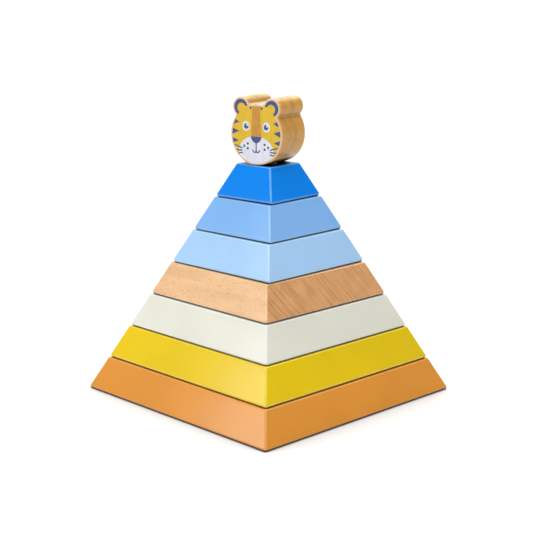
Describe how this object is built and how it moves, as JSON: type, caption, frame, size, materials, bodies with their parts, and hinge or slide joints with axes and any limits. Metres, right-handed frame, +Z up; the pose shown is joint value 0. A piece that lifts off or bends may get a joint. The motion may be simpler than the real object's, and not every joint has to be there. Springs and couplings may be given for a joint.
{
  "type": "stacking pyramid toy",
  "caption": "Square wooden stacking pyramid: coloured rings on a rod in a base block, topped by a tiger head.",
  "frame": {"origin": "centre of the base block's underside, on the rod's axis", "axes": "+Z up along the rod, -Y the pyramid's front side, X and Y square to the base block's sides"},
  "size_m": [0.1712, 0.1712, 0.1976],
  "materials": {
    "orange_paint": "satin paint on beech",
    "rod_beech": "clear satin lacquer",
    "yellow_paint": "satin paint on beech",
    "white_paint": "satin paint on beech",
    "natural_beech": "clear satin lacquer",
    "pale_blue_paint": "satin paint on beech",
    "mid_blue_paint": "satin paint on beech",
    "bright_blue_paint": "satin paint on beech",
    "head_beech": "clear gloss lacquer"
  },
  "bodies": {
    "base": {"base_block": "orange_paint", "centre_rod": "rod_beech"},
    "yellow": {"yellow_ring": "yellow_paint"},
    "white": {"white_ring": "white_paint"},
    "natural": {"natural_ring": "natural_beech"},
    "pale_blue": {"pale_blue_ring": "pale_blue_paint"},
    "mid_blue": {"mid_blue_ring": "mid_blue_paint"},
    "bright_blue": {"bright_blue_ring": "bright_blue_paint"},
    "head": {"tiger_head": "head_beech"}
  },
  "joints": [
    {"name": "yellow_lift", "type": "slide", "parent": "base", "child": "yellow", "axis": [0, 0, 1], "range_m": [0, 0.15]},
    {"name": "white_lift", "type": "slide", "parent": "yellow", "child": "white", "axis": [0, 0, 1], "range_m": [0, 0.128]},
    {"name": "natural_lift", "type": "slide", "parent": "white", "child": "natural", "axis": [0, 0, 1], "range_m": [0, 0.106]},
    {"name": "pale_blue_lift", "type": "slide", "parent": "natural", "child": "pale_blue", "axis": [0, 0, 1], "range_m": [0, 0.084]},
    {"name": "mid_blue_lift", "type": "slide", "parent": "pale_blue", "child": "mid_blue", "axis": [0, 0, 1], "range_m": [0, 0.062]},
    {"name": "bright_blue_lift", "type": "slide", "parent": "mid_blue", "child": "bright_blue", "axis": [0, 0, 1], "range_m": [0, 0.04]},
    {"name": "head_lift", "type": "slide", "parent": "bright_blue", "child": "head", "axis": [0, 0, 1], "range_m": [0, 0.018]}
  ]
}
